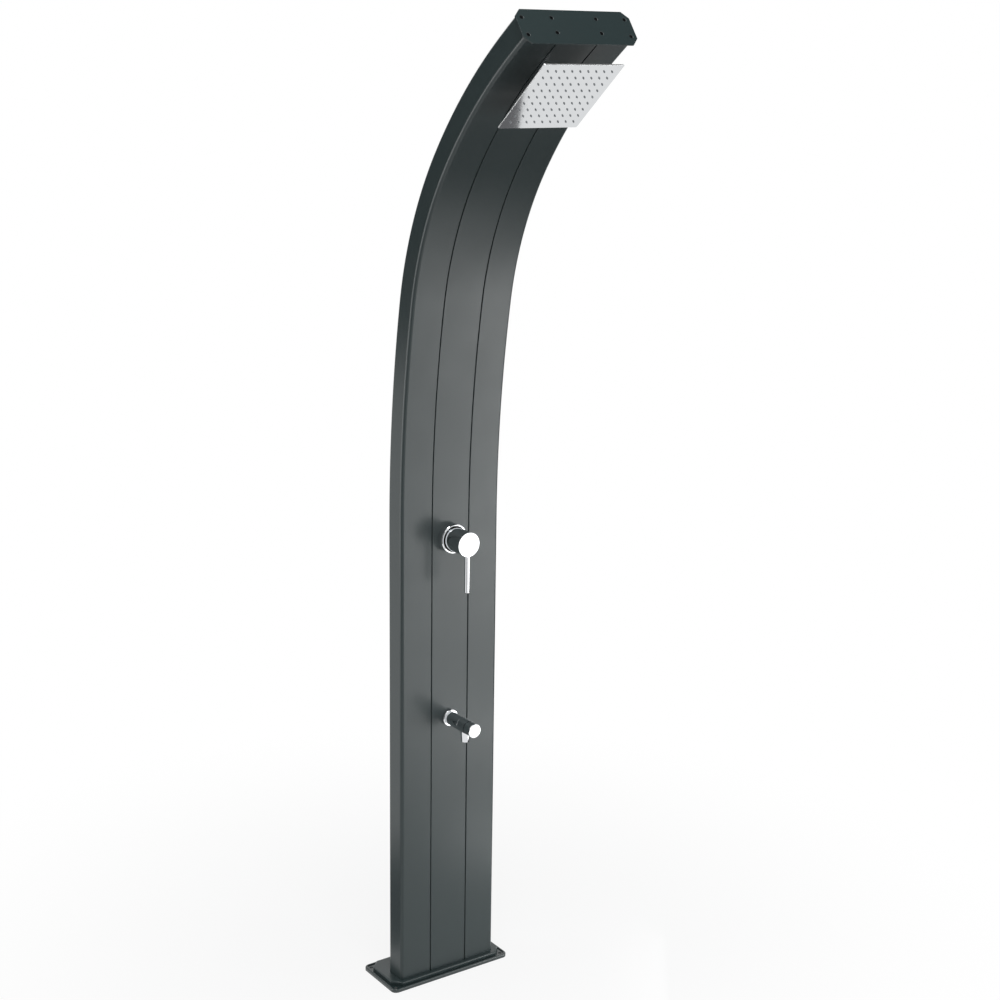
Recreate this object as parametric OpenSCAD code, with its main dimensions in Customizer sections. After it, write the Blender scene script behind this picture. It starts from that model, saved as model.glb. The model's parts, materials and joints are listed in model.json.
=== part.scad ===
// Outdoor shower post: two curved hollow aluminium tank profiles joined by snap-in panels,
// with a lever mixer, a foot tap, a square overhead plate and an anchored base.
// Millimetres. X to the right, Y to the back, Z up.
// The origin is the centre of the anchor holes, on the floor.

/* [Post] */
// Width of the post
post_w = 270; // [260:1:280]
// Depth of the post
post_d = 58; // [56:1:60]
// Radius of the long outer edges
post_corner_r = 8; // [7:0.5:9]
// Wall thickness of the extrusions
wall = 2.5; // [2.2:0.1:2.6]
// Distance of the centre line in front of the anchor pattern's centre
post_forward = 23; // [20:1:25]

/* [Bend] */
// Height at which the bend begins
bend_start_z = 1160; // [1150:5:1200]
// Radius of the lower, slow bend
bend_1_r = 2980; // [2900:10:3100]
// Turn of the lower bend in degrees
bend_1_turn = 10; // [9:0.5:11]
// Radius of the middle, tight bend
bend_2_r = 774; // [750:1:800]
// Turn of the middle bend in degrees
bend_2_turn = 26; // [24:0.5:27]
// Radius of the upper bend
bend_3_r = 1084; // [1050:1:1120]
// Turn of the upper bend in degrees
bend_3_turn = 17.7; // [16:0.1:18]
// Radius of the last, nearly straight stretch
bend_4_r = 20000; // [15000:1000:25000]
// Turn of the last stretch in degrees
bend_4_turn = 0.17; // [0.1:0.01:0.2]

/* [Panels] */
// Half distance between the two shadow gaps
seam_x = 51; // [50:0.5:52]
// Width of a shadow gap
seam_w = 3; // [2:0.5:4]

/* [Base] */
// Width of the base plate
base_w = 338; // [334:1:344]
// Depth of the base plate
base_d = 147; // [144:1:152]
// Height of the base, up to the top of its cover
base_h = 17; // [15:0.5:18]
// Distance between the anchor holes, side to side
anchor_dx = 310; // [306:1:314]
// Distance between the anchor holes, front to back
anchor_dy = 116; // [114:1:118]
// Radius of an anchor hole
anchor_r = 4.5; // [4:0.25:5]

/* [Fittings] */
// Height of the mixer's axis
mixer_z = 1123; // [1100:1:1135]
// Height of the foot tap's axis
tap_z = 676; // [640:1:700]
// Height of the water inlet's axis
inlet_z = 90; // [80:1:120]
// Distance of the overhead plate's centre from the upper end
head_back = 120; // [115:1:125]
// Side of the overhead plate
head_side = 200; // [180:1:210]
// Nozzles along each side of the overhead plate
nozzle_rows = 9; // [7:1:10]

/* [Hidden] */
$fn = 64;

// Finishes
anthracite = "#3B4144";
black_rubber = "#222426";
chrome = "#D8DADC";
brass = "#B59A5B";
steel = "#B9BCBE";
ceramic = "#EDEAE2";
white_plastic = "#E6E6E2";

// Levels of the base and the foot of the post
plate_t = 6;
rim_r = 3;
gasket_t = 2;
foot_z = plate_t + gasket_t;
base_corner_r = 14;
cover_inset = 10;
cover_cut = 22;
cover_gap = 0.5;

// Section of the post
half_d = post_d / 2;
half_w = post_w / 2;
panel_x = seam_x - seam_w / 2;
lip_x = seam_x + seam_w / 2;
bay_x = lip_x + 1.5;
web_x = (bay_x + half_w) / 2;
rail_t = 2;
rail_reach = 7;
leg_t = 2;
leg_gap = 0.5;
port_r = 2.1;
port_wall_r = 4.6;
port_out_x = half_w - 7.5;
port_in_x = bay_x + 1;
port_back_y = half_d - 11;
// Places of the screw ports on the right side: the inner front one is set deeper, behind the panel's clip
ports = [[port_out_x, port_back_y], [port_in_x, port_back_y], [port_out_x, -half_d + 6.5],
    [port_in_x, -half_d + 12.5]];

// Top cap
cap_gasket_t = 1.5;
cap_t = 3;
cap_side = 6.3;
cap_front = 14;
cap_rear = 8;
cap_cut = 15.6;
cap_screw_r = 4.1;

// Fittings through the post, measured outwards from the front face
mixer_pivot = 19;
lift_max = 20;
handle_r = 28.5;
handle_end = 78;
lever_u = 71;
lever_r = 6;
lever_tip = 117;
spout_u = 69.5;
spout_tip = 38;
tap_seam_1 = 57;
tap_seam_2 = 86;
tap_end = 109.7;
knob_screw_u = tap_seam_2 + 7;
ball_u = 24;
ball_r = 11;
head_u = 50;
pipe_x = 44;
pipe_r = 6;
pipe_bore = 4.5;
bend_r = 10;
boss_h = 16;
nut_h = 8;
mixer_port_u = -half_d;
mixer_port_x = 26;
mixer_outlet_h = 34;
stem_w = 8;
drain_x = 112;
drain_z = 42;

// The centre line rises straight from the foot and then follows four bends: radius and turn of each
bends = [[bend_1_r, bend_1_turn], [bend_2_r, bend_2_turn], [bend_3_r, bend_3_turn], [bend_4_r, bend_4_turn]];
last = len(bends) - 1;
function lean_below(i) = i == 0 ? 0 : lean_below(i - 1) + bends[i - 1][1];
function outward(lean) = [0, cos(lean), sin(lean)];
function centre(i) = i == 0 ? [0, -post_forward - bends[0][0], bend_start_z] :
    centre(i - 1) + (bends[i - 1][0] - bends[i][0]) * outward(lean_below(i));
top_lean = lean_below(last) + bends[last][1];

// Lean of the post at a distance below its upper end, in the bend under the last one
function lean_down(d) = let (past = d - PI * bends[last][0] * bends[last][1] / 180)
    round(1000 * (lean_below(last) - past * 180 / PI / bends[last - 1][0])) / 1000;
head_lean = lean_down(head_back);
crossover_back = 60;
crossover_lean = lean_down(crossover_back);

// Moves by v in three steps, of whole millimetres, thousandths and the rest, so that no digit is lost
module move(v) {
    whole = [for (x = v) round(x)];
    fine = [for (x = v - whole) round(1000 * x) / 1000];
    translate(whole) translate(fine) translate(v - whole - fine) children();
}
// A frame on the centre line: X to the right, Y to the back, Z up along the post
module on_bend(i, lean) move(centre(i) + bends[i][0] * outward(lean)) rotate([lean, 0, 0]) children();
module at_top() on_bend(last, top_lean) children();
module at_crossover() on_bend(last - 1, crossover_lean) children();

// Sweeps a plan section along the centre line, from a level in the straight part up to a lean
module along_post(from_z = foot_z, to_lean = top_lean) {
    translate([0, -post_forward, from_z]) linear_extrude(bend_start_z - from_z) children();
    for (i = [0 : last]) if (to_lean > lean_below(i)) {
        turn = min(to_lean - lean_below(i), bends[i][1]);
        move(centre(i)) rotate([90, 0, 90]) rotate_extrude(start = lean_below(i), angle = turn, $fn = 360)
            translate([bends[i][0], 0]) mirror([1, -1]) let ($fn = 64) children();
    }
}

// Frames of the fittings: X to the right, Y up, Z outwards from the face of the post
module at_front(z) translate([0, -post_forward - half_d, z]) rotate([90, 0, 0]) children();
module at_rear(z) translate([0, -post_forward + half_d, z]) rotate([-90, 0, 0]) children();
module at_head() on_bend(last - 1, head_lean) translate([0, -half_d, 0]) rotate([90, 0, 0]) children();

// A ring or tube along Z between two levels
module tube(r_out, r_in, low, high) translate([0, 0, low]) difference() {
    cylinder(r = r_out, h = high - low);
    translate([0, 0, -1]) cylinder(r = r_in, h = high - low + 2);
}
module rod(r, low, high) translate([0, 0, low]) cylinder(r = r, h = high - low);
module hex(across, low, high) translate([0, 0, low])
    cylinder(r = across / sqrt(3), h = high - low, $fn = 6);
module hex_nut(across, r_in, low, high) difference() {
    hex(across, low, high);
    rod(r_in, low - 1, high + 1);
}
// A quarter bend from heading up to heading along X
module elbow(r_out, r_in) translate([bend_r, 0, 0]) rotate([90, 0, 180])
    rotate_extrude(angle = 90) translate([bend_r, 0]) difference() {
        circle(r_out);
        circle(r_in);
    }
// A plan rectangle with round corners
module round_plan(w, d, r) {
    square([w - 2 * r, d], center = true);
    square([w, d - 2 * r], center = true);
    for (x = [-1, 1], y = [-1, 1]) translate([x * (w / 2 - r), y * (d / 2 - r)]) circle(r);
}
// A plan rectangle with cut corners
module cut_plan(x, y0, y1, cut) polygon([[-x + cut, y0], [x - cut, y0], [x, y0 + cut], [x, y1 - cut],
    [x - cut, y1], [-x + cut, y1], [-x, y1 - cut], [-x, y0 + cut]]);
module at_ports() for (side = [-1, 1], p = ports) translate([side * p[0], p[1]]) children();
module post_plan(grow = 0) round_plan(post_w + 2 * grow, post_d + 2 * grow, post_corner_r + grow);

// Base

// Sweeps a section (outwards, up) round a rectangle with round corners
module round_frame(w, d, r) {
    for (turn = [0, 180]) rotate([0, 0, turn]) {
        translate([-w / 2 + r, -d / 2, 0]) rotate([90, 0, 90]) linear_extrude(w - 2 * r)
            mirror([1, 0]) children();
        translate([w / 2, -d / 2 + r, 0]) rotate([90, 0, 180]) linear_extrude(d - 2 * r)
            mirror([1, 0]) children();
        translate([w / 2 - r, -d / 2 + r, 0]) rotate([0, 0, -90]) rotate_extrude(angle = 90)
            translate([r, 0]) children();
        translate([w / 2 - r, d / 2 - r, 0]) rotate_extrude(angle = 90) translate([r, 0]) children();
    }
}

module base_plate() color(anthracite) difference() {
    union() {
        linear_extrude(plate_t) round_plan(base_w - 2 * rim_r, base_d - 2 * rim_r, base_corner_r - rim_r);
        round_frame(base_w - 2 * rim_r, base_d - 2 * rim_r, base_corner_r - rim_r) {
            translate([-rim_r, 0]) square([2 * rim_r, plate_t]);
            translate([0, plate_t]) circle(rim_r);
        }
    }
    for (x = [-1, 1], y = [-1, 1]) translate([x * anchor_dx / 2, y * anchor_dy / 2, -1])
        cylinder(r = anchor_r, h = plate_t + 4);
    translate([0, -post_forward, 0]) at_ports() {
        translate([0, 0, -1]) cylinder(r = 2.6, h = plate_t + 2);
        translate([0, 0, -0.01]) cylinder(r1 = 5, r2 = 2.6, h = 2.4);
    }
}

module base_cover() color(anthracite) difference() {
    x = base_w / 2 - cover_inset;
    y = base_d / 2 - cover_inset;
    hull() {
        translate([0, 0, plate_t]) linear_extrude(base_h - plate_t - 3) cut_plan(x, -y, y, cover_cut);
        translate([0, 0, plate_t]) linear_extrude(base_h - plate_t - 1)
            cut_plan(x - 1, -y + 1, y - 1, cover_cut - 0.6);
        translate([0, 0, plate_t]) linear_extrude(base_h - plate_t)
            cut_plan(x - 3, -y + 3, y - 3, cover_cut - 1.8);
    }
    translate([0, -post_forward, plate_t - 1]) linear_extrude(base_h) post_plan(cover_gap);
}

module base_gasket() color(black_rubber) translate([0, -post_forward, plate_t]) difference() {
    linear_extrude(gasket_t) post_plan();
    at_ports() translate([0, 0, -1]) cylinder(r = 2.6, h = gasket_t + 2);
}

module base_screws() color(steel) translate([0, -post_forward, 0]) at_ports() {
    translate([0, 0, 0.2]) cylinder(r1 = 4.5, r2 = 2.05, h = 2.3);
    rod(2.05, 1, 30);
}

// Post

module profile_outline(inset, from_x) {
    x = half_w - inset;
    y = half_d - inset;
    r = post_corner_r - inset;
    translate([from_x, -y]) square([x - r - from_x, 2 * y]);
    translate([from_x, -(y - r)]) square([x - from_x, 2 * (y - r)]);
    for (side = [-1, 1]) translate([x - r, side * (y - r)]) circle(r);
}

// One closed tank: walls, web, screw ports, lips at the shadow gaps and rails for the panels' clips
module profile_section() difference() {
    union() {
        difference() {
            profile_outline(0, bay_x);
            profile_outline(wall, bay_x + wall);
        }
        translate([web_x - 1, -half_d + 1]) square([2, post_d - 2]);
        for (side = [-1, 1]) {
            translate([lip_x, side * (half_d - wall / 2) - wall / 2]) square([wall + 2, wall]);
            translate([bay_x - rail_reach, side * (half_d - wall - rail_t / 2) - rail_t / 2])
                square([rail_reach + 1, rail_t]);
        }
        for (p = ports) translate(p) circle(port_wall_r);
        for (p = ports) if (p[0] > web_x) translate([p[0], p[1] - 1.5]) square([half_w - p[0] - 1, 3]);
        translate([port_out_x - 1.5, -half_d + 1]) square([3, 4]);
    }
    for (p = ports) translate(p) circle(port_r);
}

module side_profile() difference() {
    along_post() profile_section();
    translate([0, -post_forward, inlet_z]) rotate([0, 90, 0]) rod(8.1, bay_x - 8, bay_x + wall + 1);
    at_crossover() rotate([0, 90, 0]) rod(8.1, bay_x - 8, bay_x + wall + 1);
}

module left_profile() color(anthracite) difference() {
    mirror([1, 0, 0]) side_profile();
    at_rear(drain_z) translate([-drain_x, 0, 0]) rod(6.6, -wall - 1, 1);
}
module right_profile() color(anthracite) side_profile();

// Front plate of a panel with its two snap legs
module panel_section() {
    translate([-panel_x, -half_d]) square([2 * panel_x, wall]);
    for (side = [-1, 1]) {
        leg_x = bay_x - rail_reach - leg_gap - leg_t / 2;
        translate([side * leg_x - leg_t / 2, -half_d + 1]) square([leg_t, wall + 2 * rail_t - 1]);
        translate([side * (leg_x + leg_t / 2) - leg_t / 2, -half_d + wall + rail_t]) square([leg_t, rail_t]);
    }
}

module front_panel() color(anthracite) difference() {
    along_post() panel_section();
    at_front(mixer_z) rod(23, -8, 2);
    at_front(tap_z) rod(13.4, -8, 2);
    at_head() rod(10.7, -8, 2);
}

module rear_panel() color(anthracite) difference() {
    along_post() mirror([0, 1]) panel_section();
    at_rear(inlet_z) rod(10.8, -8, 2);
}

module top_gasket() color(black_rubber) at_top() difference() {
    linear_extrude(cap_gasket_t) post_plan();
    at_ports() translate([0, 0, -1]) cylinder(r = 2.6, h = 4);
}

module top_cap() color(anthracite) at_top() translate([0, 0, cap_gasket_t]) difference() {
    linear_extrude(cap_t) cut_plan(half_w + cap_side, -half_d - cap_front, half_d + cap_rear, cap_cut);
    at_ports() {
        translate([0, 0, -1]) cylinder(r = 2.6, h = cap_t + 2);
        translate([0, 0, cap_t - 2.4]) cylinder(r1 = 2.6, r2 = cap_screw_r + 0.9, h = 2.41);
    }
}

module top_screws() color(black_rubber) at_top() translate([0, 0, cap_gasket_t]) at_ports()
    difference() {
        union() {
            translate([0, 0, cap_t - 2.3]) cylinder(r1 = 2.05, r2 = cap_screw_r, h = 1.8);
            rod(2.05, -22, cap_t - 2);
        }
        hex(2.5, cap_t - 1.8, cap_t);
    }

// Mixer

module mixer_body() color(brass) at_front(mixer_z) difference() {
    union() {
        rod(22.5, -wall, 14);
        rod(30, -wall - 5, -wall);
        rod(24, -half_d - 10, -wall - 5);
        translate([0, 0, mixer_port_u]) rotate([0, 90, 0]) rod(11, -mixer_port_x, mixer_port_x);
        translate([0, 0, mixer_port_u]) rotate([-90, 0, 0]) rod(11, 0, mixer_outlet_h);
    }
    rod(17.6, -14, 15);
    rod(20.2, 8, 15);
    for (side = [-1, 1]) {
        translate([0, 0, mixer_port_u]) rotate([0, side * 90, 0]) rod(pipe_bore, 6, mixer_port_x + 1);
        translate([side * 8, 0, 0]) rod(3.5, mixer_port_u - 2, -13);
    }
    translate([0, 0, mixer_port_u]) rotate([-90, 0, 0]) rod(pipe_bore, 7, mixer_outlet_h + 1);
    translate([0, 9, 0]) rod(3.5, mixer_port_u - 2, -13);
}

module mixer_rosette() color(chrome) at_front(mixer_z) difference() {
    rotate_extrude() union() {
        translate([22.6, 0]) square([12, 4]);
        polygon([[29.4, 3], [35.3, 3], [35.3, mixer_pivot - 1.5], [33.8, mixer_pivot],
            [31.4, mixer_pivot], [29.4, mixer_pivot - 3.6]]);
        translate([34, 0]) square([1.3, 4]);
    }
    tube(33, 26, -1, 1);
}

module rosette_seal() color(black_rubber) at_front(mixer_z) tube(32.8, 26.2, 0, 1);

// Fixed dome: its centre is the handle's pivot, so the gap to the handle stays even
module mixer_dome() color(chrome) at_front(mixer_z) union() {
    intersection() {
        translate([0, 0, mixer_pivot]) difference() {
            sphere(25.8);
            sphere(24.2);
        }
        rod(30, mixer_pivot - 6, mixer_pivot + 12);
    }
    tube(24.2, 22.6, mixer_pivot - 8.5, mixer_pivot - 5);
}

module cartridge_housing() color(white_plastic) at_front(mixer_z) difference() {
    union() {
        rod(17.4, -14, 12);
        rod(12.5, 11, 26);
    }
    rod(15.5, -3, 10.5);
    rod(10.55, 10, 27);
    for (p = [[-8, 0], [8, 0], [0, 9]]) translate(p) rod(3, -15, -2);
}

module cartridge_nut() color(brass) at_front(mixer_z) hex_nut(34, 12.8, 12, 18);

module ceramic_seat() color(ceramic) at_front(mixer_z) difference() {
    rod(15.3, -3, 2);
    for (p = [[-8, 0], [8, 0], [0, 9]]) translate(p) rod(3, -4, 3);
}

module ceramic_slider() color(ceramic) at_front(mixer_z) difference() {
    rod(10.4, 2.05, 7.5);
    rod(3.25, 3, 8);
}

module cartridge_guide() color(white_plastic) at_front(mixer_z) difference() {
    union() {
        rod(10.5, 10, 27.5);
        rod(14.5, 7.9, 10.4);
    }
    translate([-4.3, -7.8, 7]) cube([8.6, 16.3, 22]);
    translate([0, 0, mixer_pivot]) rotate([0, 90, 0]) rod(2, -12, 12);
}

module pivot_pin() color(steel) at_front(mixer_z) translate([0, 0, mixer_pivot]) rotate([0, 90, 0])
    rod(2, -9.2, 9.2);

module cartridge_stem() color(brass) at_front(mixer_z) difference() {
    union() {
        translate([-stem_w / 2, -stem_w / 2, 15]) cube([stem_w, stem_w, 40]);
        rod(2.2, 6, 16);
        translate([0, 0, 6]) sphere(3);
    }
    translate([0, 0, mixer_pivot]) rotate([0, 90, 0]) rod(2.06, -6, 6);
}

module mixer_handle() color(chrome) at_front(mixer_z) difference() {
    union() {
        rotate_extrude() difference() {
            polygon([[0, mixer_pivot - 3], [handle_r, mixer_pivot - 3], [handle_r, handle_end - 1],
                [handle_r - 1, handle_end], [0, handle_end]]);
            translate([-1, mixer_pivot - 4]) square([handle_r - 1.2, handle_end - mixer_pivot]);
        }
        rod(9, 38, handle_end - 2);
        translate([0, 0, lever_u - 1]) rotate([90, 0, 0]) rod(7.5, 0, handle_r - 1);
    }
    translate([-4.1, -4.1, 37]) cube([8.2, 8.2, 19]);
    translate([0, 0, lever_u]) rotate([90, 0, 0]) {
        rod(lever_r + 0.05, handle_r - 1, handle_r + 2);
        rod(4.05, 12, handle_r);
    }
    translate([0, 0, 47]) rotate([90, 0, 0]) rod(2.55, 3, handle_r + 2);
}

module mixer_lever() color(chrome) at_front(mixer_z) translate([0, 0, lever_u]) rotate([90, 0, 0])
    rotate_extrude() polygon([[0, 12.5], [4, 12.5], [4, handle_r - 1], [lever_r, handle_r - 1],
        [lever_r, lever_tip - 1.2], [lever_r - 1.2, lever_tip], [0, lever_tip]]);

module handle_screw() color(steel) at_front(mixer_z) translate([0, 0, 47]) rotate([90, 0, 0]) difference() {
    rod(2.5, 4, 10);
    hex(2.5, 8, 11);
}

// Foot tap

module tap_rosette() color(chrome) at_front(tap_z) difference() {
    rotate_extrude() polygon([[16.7, 0], [20.8, 0], [20.8, 7.5], [19.3, 9], [16.7, 9]]);
    tube(19.6, 17.8, -1, 1);
}

module tap_seal() color(black_rubber) at_front(tap_z) tube(19.4, 18, 0, 1);

module tap_extension() color(chrome) at_front(tap_z) difference() {
    union() {
        rod(16.5, 0, tap_seam_1);
        rod(13, -19, 1);
    }
    rod(7, -20, tap_seam_1);
    rod(11, tap_seam_1 - 10.5, tap_seam_1 + 1);
}

module tap_backnut() color(brass) at_front(tap_z) hex_nut(36, 13.1, -wall - 6, -wall);

module tap_body() color(chrome) at_front(tap_z) difference() {
    union() {
        rotate_extrude() polygon([[0, tap_seam_1 - 10], [10.9, tap_seam_1 - 10], [10.9, tap_seam_1],
            [16.2, tap_seam_1], [17, tap_seam_1 + 0.8], [17, tap_seam_2], [0, tap_seam_2]]);
        translate([0, 0, spout_u]) rotate([90, 0, 0]) translate([0, 0, 10])
            cylinder(r1 = 12.2, r2 = 10, h = spout_tip - 10);
    }
    rod(5.5, tap_seam_1 - 11, tap_seam_1 + 3);
    rod(11.5, tap_seam_1 + 1.5, tap_seam_2 - 9);
    rod(12, tap_seam_2 - 9.4, tap_seam_2 + 1);
    translate([0, 0, spout_u]) rotate([90, 0, 0]) {
        rod(6.8, 5, spout_tip + 1);
        rod(7.8, spout_tip - 7, spout_tip + 1);
    }
}

module tap_headwork() color(brass) at_front(tap_z) difference() {
    union() {
        rod(7, tap_seam_1 + 1.7, tap_seam_2 - 8.8);
        rod(11.9, tap_seam_2 - 9.2, tap_seam_2 - 0.9);
        hex(17, tap_seam_2 - 1, tap_seam_2 + 2.1);
    }
    rod(4.05, tap_seam_2 - 18.2, tap_seam_2 + 4);
    translate([-8, -2, tap_seam_1 + 4.5]) cube([16, 4, 4]);
}

module tap_stem() color(brass) at_front(tap_z) rod(4, tap_seam_2 - 18, tap_seam_2 + 11);

module tap_knob() color(chrome) at_front(tap_z) difference() {
    rotate_extrude() polygon([[0, tap_seam_2 + 0.4], [16.4, tap_seam_2 + 0.4], [17, tap_seam_2 + 1],
        [17, tap_end - 1.2], [15.8, tap_end], [0, tap_end]]);
    tube(14.5, 7.5, tap_seam_2 - 1, tap_end - 4);
    rod(7.6, tap_seam_2 - 1, tap_seam_2 + 3.1);
    rod(4, tap_seam_2 - 1, tap_seam_2 + 11);
    translate([0, 0, knob_screw_u]) rotate([90, 0, 0]) rod(1.55, 3, 20);
}

module knob_screw() color(steel) at_front(tap_z) translate([0, 0, knob_screw_u]) rotate([90, 0, 0])
    difference() {
    rod(1.5, 4.05, 7.4);
    hex(1.5, 6, 8);
}

module spout_aerator() color(steel) at_front(tap_z) translate([0, 0, spout_u]) rotate([90, 0, 0])
    difference() {
        rod(7.7, spout_tip - 7, spout_tip - 0.4);
        rod(6, spout_tip - 3, spout_tip + 1);
        for (turn = [0 : 60 : 300]) rotate([0, 0, turn]) translate([4, 0, 0])
            rod(1.1, spout_tip - 8, spout_tip);
        rod(1.1, spout_tip - 8, spout_tip);
    }

// Overhead plate

module head_nipple() color(chrome) at_head() difference() {
    union() {
        rod(10.4, -14, 1);
        hex(27, 0.4, 8);
        rod(5.5, 7, ball_u);
        translate([0, 0, ball_u]) sphere(ball_r);
    }
    rod(4, -15, ball_u + ball_r + 1);
}

module head_lock_nut() color(brass) at_head() hex_nut(30, 10.5, -wall - 6, -wall - 0.1);

module ball_liner() color(white_plastic) at_head() intersection() {
    translate([0, 0, ball_u]) difference() {
        sphere(ball_r + 1.3);
        sphere(ball_r + 0.3);
    }
    rod(20, ball_u - 5, ball_u + 5);
}

module ball_nut() color(chrome) at_head() difference() {
    rotate_extrude() polygon([[0, ball_u - 7.2], [14.2, ball_u - 7.2], [16.5, ball_u - 3],
        [16.5, ball_u + 12], [0, ball_u + 12]]);
    translate([0, 0, ball_u]) sphere(ball_r + 1.6);
    rod(14.4, ball_u + 5.3, ball_u + 13);
}

module head_plan(grow = 0) round_plan(head_side + 2 * grow, head_side + 2 * grow, 3 + grow);
module at_nozzles() {
    pitch = head_side / (nozzle_rows + 1);
    for (i = [1 : nozzle_rows], j = [1 : nozzle_rows])
        translate([i * pitch - head_side / 2, j * pitch - head_side / 2, head_u]) children();
}

// Raised hub of the overhead plate, with the cup of the ball joint
module head_hub() color(steel) at_head() difference() {
    union() {
        rod(14.3, ball_u + 5.4, head_u - 5);
        rotate_extrude() polygon([[0, 38], [14.3, 38], [17, 41], [27, 45.5], [32, 46.5], [32, head_u],
            [0, head_u]]);
    }
    translate([0, 0, ball_u]) sphere(ball_r + 1.6);
    rod(5, ball_u, head_u + 1);
    rod(29, 48, head_u + 1);
}

// Back plate, pressed to a shallow water chamber
module head_back_plate() color(steel) at_head() difference() {
    translate([0, 0, head_u]) linear_extrude(1.9) head_plan();
    rod(28, head_u - 1, head_u + 1);
    translate([0, 0, head_u + 0.9]) linear_extrude(2) head_plan(-2);
}

module head_face_plate() color("#DADBDB") at_head() difference() {
    translate([0, 0, head_u + 1.9]) linear_extrude(0.8) head_plan();
    at_nozzles() rod(1.95, 1, 4);
}

module head_nozzles() color("#9C9FA1") at_head() at_nozzles()
    rotate_extrude($fn = 16) polygon([[0, 1.1], [2.6, 1.1], [2.6, 1.85], [1.9, 1.85], [1.9, 2.75],
        [1.3, 5.4], [0, 5.4]]);

// Water

module inlet_connector() color(steel) at_rear(inlet_z) difference() {
    union() {
        rod(10.48, 3, 17);
        hex(27, 0, 3.5);
        rod(10.3, -21, 1);
    }
    rod(6, -22, 18);
}

module inlet_nut() color(brass) at_rear(inlet_z) hex_nut(30, 10.4, -wall - 6, -wall);

module check_valve() color(white_plastic) at_rear(inlet_z) difference() {
    rod(5.9, -14, 4);
    rod(3, -10, 5);
    tube(9, 4.5, -15, -12);
}

module cold_manifold() color(brass) translate([0, -post_forward, inlet_z]) difference() {
    union() {
        rotate([0, 90, 0]) {
            rod(11, -bay_x + 0.5, bay_x - 0.5);
            rod(8, -bay_x - 6, bay_x + 6);
        }
        rotate([-90, 0, 0]) rod(13, 0, 14);
        for (x = [-pipe_x, 0]) translate([x, 0, 0]) rod(9, 0, boss_h);
    }
    rotate([0, 90, 0]) rod(5, -bay_x - 7, bay_x + 7);
    rotate([-90, 0, 0]) rod(10.35, 8, 15);
    rotate([-90, 0, 0]) rod(6, 0, 9);
    for (x = [-pipe_x, 0]) translate([x, 0, 0]) rod(pipe_bore, 0, boss_h + 1);
}

module cold_pipe() color(steel) translate([0, -post_forward, 0]) {
    translate([-pipe_x, 0, 0]) tube(pipe_r, pipe_bore, inlet_z + boss_h, mixer_z - bend_r);
    translate([-pipe_x, 0, mixer_z - bend_r]) elbow(pipe_r, pipe_bore);
    translate([0, 0, mixer_z]) rotate([0, 90, 0]) tube(pipe_r, pipe_bore, -pipe_x + bend_r, -mixer_port_x);
}

module tap_pipe() color(steel) translate([0, -post_forward, 0]) {
    tube(pipe_r, pipe_bore, inlet_z + boss_h, tap_z - bend_r);
    translate([0, 0, tap_z - bend_r]) rotate([0, 0, -90]) elbow(pipe_r, pipe_bore);
}

module pipe_ring() difference() {
    circle(pipe_r);
    circle(pipe_bore);
}

module hot_pipe() color(steel) {
    along_post(mixer_z + bend_r, lean_down(crossover_back + boss_h + 0.2)) translate([pipe_x, 0])
        pipe_ring();
    translate([pipe_x, -post_forward, mixer_z + bend_r]) rotate([0, 180, 0]) elbow(pipe_r, pipe_bore);
    translate([0, -post_forward, mixer_z]) rotate([0, 90, 0])
        tube(pipe_r, pipe_bore, mixer_port_x, pipe_x - bend_r);
}

module head_pipe() color(steel) {
    along_post(mixer_z + mixer_outlet_h, lean_down(head_back + 2 * bend_r + 1)) pipe_ring();
    on_bend(last - 1, head_lean) {
        tube(pipe_r + 1.5, pipe_r - 0.8, -2 * bend_r - 7, -bend_r - 2);
        tube(pipe_r, pipe_bore, -2 * bend_r, -bend_r);
        translate([0, 0, -bend_r]) rotate([0, 0, -90]) elbow(pipe_r, pipe_bore);
        rotate([90, 0, 0]) tube(pipe_r, pipe_bore, bend_r, half_d - 14);
    }
}

module upper_crossover() color(brass) at_crossover() difference() {
    union() {
        rotate([0, 90, 0]) {
            rod(11, -bay_x + 0.5, bay_x - 0.5);
            rod(8, -bay_x - 6, bay_x + 6);
        }
        translate([pipe_x, 0, 0]) rod(9, -boss_h, 0);
    }
    rotate([0, 90, 0]) rod(5, -bay_x - 7, bay_x + 7);
    translate([pipe_x, 0, 0]) rod(pipe_bore, -boss_h - 1, 0);
}

module union_nuts() color(brass) {
    translate([0, -post_forward, 0]) {
        for (x = [-pipe_x, 0]) translate([x, 0, inlet_z + boss_h]) hex_nut(17, pipe_r, 0, nut_h);
        for (side = [-1, 1]) translate([0, 0, mixer_z]) rotate([0, side * 90, 0])
            hex_nut(17, pipe_r, mixer_port_x, pipe_x - bend_r);
        translate([0, 0, mixer_z + mixer_outlet_h]) hex_nut(17, pipe_r, 0, nut_h);
    }
    on_bend(last - 1, lean_down(crossover_back + boss_h + nut_h / 2)) translate([pipe_x, 0, 0])
        hex_nut(17, pipe_r + 0.05, -nut_h / 2, nut_h / 2 - 0.3);
}

module drain_plug() color(steel) at_rear(drain_z) translate([-drain_x, 0, 0]) {
    rod(6.55, -8, 1);
    hex(17, 0, 5);
}

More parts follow.
